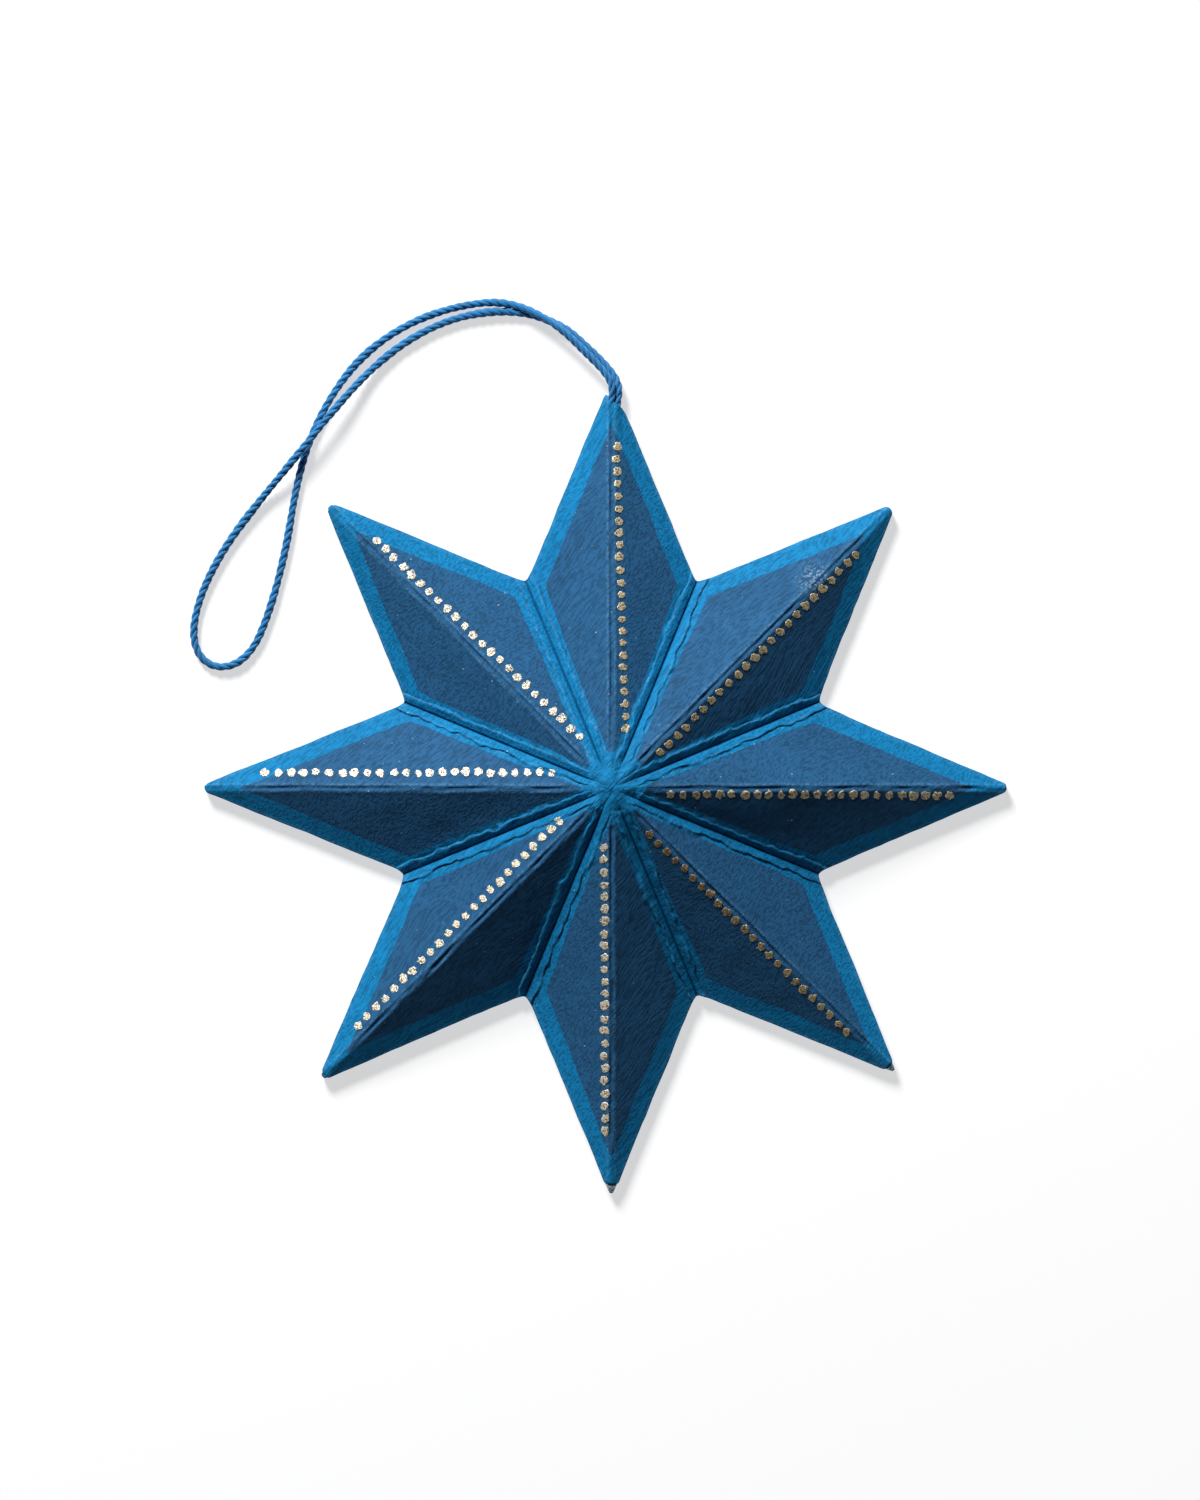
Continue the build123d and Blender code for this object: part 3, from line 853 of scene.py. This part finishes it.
def build_dots(index):
    """One row of painted dots: each is a flat dome of rings, with an uneven outline of four to six
    lobes and a crinkled top, laid on the cover and sunk a little into it at its edge."""
    count = shape().dot_count
    radius = shape().dot_radius / MM
    draw = np.random.default_rng(700 + index)
    near, far = DOT_NEAR[index], DOT_FAR[index]
    share = np.linspace(0, 1, count)
    along = FIRST_DOT + share * (LAST_DOT - FIRST_DOT) + draw.normal(0, 0.07, count)
    across = -(near + share * (far - near)) + draw.normal(0, 0.07, count)
    size = radius * draw.uniform(0.88, 1.1, count)
    segments, lift, depth = 12, 0.08, 0.2
    turn = np.linspace(0, 2 * math.pi, segments, endpoint=False)
    starts = draw.uniform(0, 6.3, (count, 1))
    outline = 1 + 0.07 * np.cos(draw.integers(4, 7, (count, 1)) * turn + starts)
    outline += draw.normal(0, 0.13, (count, segments))
    rings = np.array([0.4, 0.78, 0.97, 1.03])
    heights = np.array([lift, lift, 0.065, -0.1])
    reach = size[:, None, None] * outline[:, None, :] * rings[None, :, None]
    local_u = along[:, None, None] + reach * np.cos(turn)
    local_v = across[:, None, None] + reach * np.sin(turn)
    crinkle = draw.normal(0, 0.02, (count, len(rings), segments))
    crinkle[:, -1] = 0
    rise = heights[None, :, None] + crinkle
    heading = TOP_ANGLE - index * 2 * HALF_SECTOR
    cos, sin = math.cos(heading), math.sin(heading)
    x = local_u * cos - local_v * sin
    y = local_u * sin + local_v * cos
    z = cover_height(x, y) + rise
    centre_x = along * cos - across * sin
    centre_y = along * sin + across * cos
    centre = np.column_stack([centre_x, centre_y, cover_height(centre_x, centre_y) + lift])
    foot = centre.copy()
    foot[:, 2] -= depth
    per_dot = len(rings) * segments + 2
    domes = np.stack([x, y, z], axis=-1).reshape(count, -1, 3)
    places = lengthen(np.concatenate([domes, centre[:, None], foot[:, None]], axis=1))
    quads = ring_faces(len(rings), segments, 0)
    poles = pole_faces(len(rings), segments, per_dot - 2)
    faces = []
    for number in range(count):
        faces += (quads + number * per_dot).tolist() + (poles + number * per_dot).tolist()
    piece = mesh_object("painted_dots_" + str(index + 1), places.reshape(-1, 3), faces)
    # Painted shade: each row's brown share, fading towards the tip, and its khaki share.
    row_brown_shade = np.repeat(DOT_BROWN_SHADE[index] * (1 - 0.55 * share), per_dot)
    khaki_shade = np.full_like(row_brown_shade, DOT_KHAKI_SHADE[index])
    add_attribute(piece, "wear", row_brown_shade, khaki_shade, row_brown_shade)
    return piece


def route_line():
    """The cord's smooth line: points read from a NURBS curve with the route's points."""
    curve = bpy.data.curves.new("cord_line", "CURVE")
    curve.dimensions = "3D"
    curve.resolution_u = 24
    spline = curve.splines.new("NURBS")
    spline.points.add(len(CORD_ROUTE) - 1)
    route = np.column_stack([np.array(CORD_ROUTE) * MM, np.ones(len(CORD_ROUTE))])
    spline.points.foreach_set("co", route.ravel())
    spline.order_u = 3
    spline.use_endpoint_u = True
    holder = bpy.data.objects.new("cord_line", curve)
    mesh = bpy.data.meshes.new_from_object(holder)
    line = np.zeros(len(mesh.vertices) * 3)
    mesh.vertices.foreach_get("co", line)
    bpy.data.objects.remove(holder)
    bpy.data.meshes.remove(mesh)
    return line.reshape(-1, 3) / MM


def build_cord():
    """Three strands round the route's line: each ring's middle goes round the line once in every
    pitch, and its circle stands square to the line."""
    line = route_line()
    steps = np.concatenate([[0], np.cumsum(np.linalg.norm(np.diff(line, axis=0), axis=1))])
    ring_spacing = 0.3
    rings = int(steps[-1] / ring_spacing)
    where = np.linspace(0, steps[-1], rings)
    path = np.column_stack([np.interp(where, steps, line[:, axis]) for axis in range(3)])
    tangent = np.gradient(path, axis=0)
    tangent /= np.linalg.norm(tangent, axis=1)[:, None]
    side = np.cross([0, 0, 1], tangent)
    side /= np.linalg.norm(side, axis=1)[:, None]
    up = np.cross(tangent, side)
    pitch = shape().cord_pitch / MM
    strands, segments = 3, 9
    strand_radius = CORD_DIAMETER / 2 * 0.62
    strand_offset = CORD_DIAMETER / 2 * 1.1 - strand_radius
    places, faces = [], []
    turn = np.linspace(0, 2 * math.pi, segments, endpoint=False)
    loose = 1 + 0.06 * waves(where, where * 0, 9, 61)
    for strand in range(strands):
        phase = 2 * math.pi * (where / pitch + strand / strands) + 0.35 * waves(where, where * 0 + 30, 16, 62)
        outwards = side * np.cos(phase)[:, None] + up * np.sin(phase)[:, None]
        middle = path + outwards * strand_offset * loose[:, None]
        axis = np.gradient(middle, axis=0)
        axis /= np.linalg.norm(axis, axis=1)[:, None]
        first = side - axis * np.sum(side * axis, axis=1)[:, None]
        first /= np.linalg.norm(first, axis=1)[:, None]
        second = np.cross(axis, first)
        circle = first[:, None] * np.cos(turn)[None, :, None] + second[:, None] * np.sin(turn)[None, :, None]
        ring = middle[:, None] + strand_radius * loose[:, None, None] * circle
        start = len(places) * rings * segments
        places.append(ring.reshape(-1, 3))
        faces += ring_faces(rings, segments, start)[:, ::-1].tolist()
        faces.append((start + np.arange(segments))[::-1].tolist())
        faces.append((start + (rings - 1) * segments + np.arange(segments)).tolist())
    around = np.minimum(turn, 2 * math.pi - turn) / math.pi
    strand_places = np.stack(np.broadcast_arrays(around[None, :], where[:, None]), axis=-1)
    coordinates = np.tile(strand_places.reshape(-1, 2), (strands, 1))
    piece = mesh_object("twisted_cord", np.concatenate(places), faces)
    layer = piece.data.uv_layers.new(name="strand")
    corner_vertices = np.zeros(len(piece.data.loops), np.int32)
    piece.data.loops.foreach_get("vertex_index", corner_vertices)
    layer.data.foreach_set("uv", coordinates[corner_vertices].astype(np.float32).ravel())
    return piece, path


# Operators


class PAPER_STAR_OT_stage(bpy.types.Operator):
    """Sets the camera, the floor and the light"""

    bl_idname = "paper_star.stage"
    bl_label = "Stage"

    def execute(self, context):
        scene = context.scene
        scene.view_settings.view_transform = "Standard"
        camera_data = bpy.data.cameras.new("camera")
        camera_data.lens = 135
        camera_data.sensor_width = 36
        camera = bpy.data.objects.new("camera", camera_data)
        view_height, middle_x, middle_y, middle_z = 244.5, -1.85, 6.2, 2.0
        distance = view_height * camera_data.lens / camera_data.sensor_width
        camera.location = (middle_x * MM, middle_y * MM, (distance + middle_z) * MM)
        scene.collection.objects.link(camera)
        scene.camera = camera
        reach, below = 1500.0, -0.05
        corners = ((-reach, -reach), (reach, -reach), (reach, reach), (-reach, reach))
        floor = mesh_object("floor", [(*corner, below) for corner in corners], [(0, 1, 2, 3)])
        material, tree, shader, _ = start_material("Floor", 0.9, 0.1)
        shader.inputs["Base Color"].default_value = (0.45, 0.45, 0.45, 1)
        shader.inputs["Emission Color"].default_value = (1, 1, 1, 1)
        shader.inputs["Emission Strength"].default_value = 0.62
        floor.data.materials.append(material)
        turn, rise, away = math.radians(113), math.radians(32), 1.3
        light_data = bpy.data.lights.new("key", "AREA")
        light_data.shape = "DISK"
        light_data.size = 0.42
        light_data.energy = 29.5
        light = bpy.data.objects.new("key", light_data)
        flat = away * math.cos(rise)
        light.location = (flat * math.cos(turn), flat * math.sin(turn), away * math.sin(rise))
        light.rotation_euler = light.location.to_track_quat("Z", "Y").to_euler()
        scene.collection.objects.link(light)
        world = bpy.data.worlds.new("room")
        world.use_nodes = True
        tree = world.node_tree
        sight = add_node(tree, "ShaderNodeLightPath").outputs["Is Camera Ray"]
        room_light, room_seen = 0.045, 0.95
        strength = span(tree, sight, 0.0, 1.0, room_light, room_seen, "LINEAR")
        tree.links.new(strength, tree.nodes["Background"].inputs[1])
        tree.nodes["Background"].inputs[0].default_value = (0.8, 0.87, 1, 1)
        scene.world = world
        return {"FINISHED"}


class PAPER_STAR_OT_cord(bpy.types.Operator):
    """Makes the twisted cord along its route, and finishes its knot"""

    bl_idname = "paper_star.cord"
    bl_label = "Cord"

    def execute(self, context):
        piece, path = build_cord()
        stand_for(piece, twisted_yarn(), ["hanging_cord"])
        knot = finish_node("cord_knot", knot_yarn())
        return {"FINISHED"}


class PAPER_STAR_OT_cover(bpy.types.Operator):
    """Makes the folded cover with its printed fields"""

    bl_idname = "paper_star.cover"
    bl_label = "Cover"

    def execute(self, context):
        stand_for(build_cover(), printed_paper(), ["front_cover"])
        return {"FINISHED"}


class PAPER_STAR_OT_dots(bpy.types.Operator):
    """Paints the rows of dots beside the ridges"""

    bl_idname = "paper_star.dots"
    bl_label = "Dots"

    def execute(self, context):
        paint = metallic_paint()
        for index in range(POINTS):
            stand_for(build_dots(index), paint, ["dot_row_" + str(index + 1)])
        return {"FINISHED"}


class PAPER_STAR_OT_back(bpy.types.Operator):
    """Pastes the lining over the back"""

    bl_idname = "paper_star.back"
    bl_label = "Back lining"

    def execute(self, context):
        paper = plain_paper("Lining paper", colours().lining)
        stand_for(build_lining(), paper, ["back_lining"])
        return {"FINISHED"}


class PAPER_STAR_OT_cards(bpy.types.Operator):
    """Finishes the board and the folded cards inside"""

    bl_idname = "paper_star.cards"
    bl_label = "Board and cards"

    def execute(self, context):
        card = plain_paper("Folding card", colours().card, 0.75)
        stand_for(build_board(), dyed_board(), ["back_board"])
        for index in range(POINTS):
            finish_node("point_card_" + str(index + 1), card)
        return {"FINISHED"}


class PAPER_STAR_PT_panel(bpy.types.Panel):
    """The star's pieces, in the order in which they are made"""

    bl_idname = "PAPER_STAR_PT_panel"
    bl_label = "Paper star"
    bl_space_type = "VIEW_3D"
    bl_region_type = "UI"
    bl_category = "Paper star"

    def draw(self, context):
        for group in (context.scene.paper_star_shape, context.scene.paper_star_colours):
            box = self.layout.box()
            for name in group.__annotations__:
                box.prop(group, name)
        for operator in OPERATORS:
            self.layout.operator(operator.bl_idname)


OPERATORS = (
    PAPER_STAR_OT_stage,
    PAPER_STAR_OT_cord,
    PAPER_STAR_OT_cover,
    PAPER_STAR_OT_dots,
    PAPER_STAR_OT_back,
    PAPER_STAR_OT_cards,
)
CLASSES = (PaperStarShape, PaperStarColours, *OPERATORS, PAPER_STAR_PT_panel)


def register():
    for cls in CLASSES:
        bpy.utils.register_class(cls)
    bpy.types.Scene.paper_star_shape = bpy.props.PointerProperty(type=PaperStarShape)
    bpy.types.Scene.paper_star_colours = bpy.props.PointerProperty(type=PaperStarColours)


def unregister():
    del bpy.types.Scene.paper_star_colours
    del bpy.types.Scene.paper_star_shape
    for cls in reversed(CLASSES):
        bpy.utils.unregister_class(cls)


def main():
    register()
    bpy.ops.paper_star.stage()
    bpy.ops.paper_star.cord()
    bpy.ops.paper_star.cover()
    bpy.ops.paper_star.dots()
    bpy.ops.paper_star.back()
    bpy.ops.paper_star.cards()


if __name__ == "__main__":
    main()
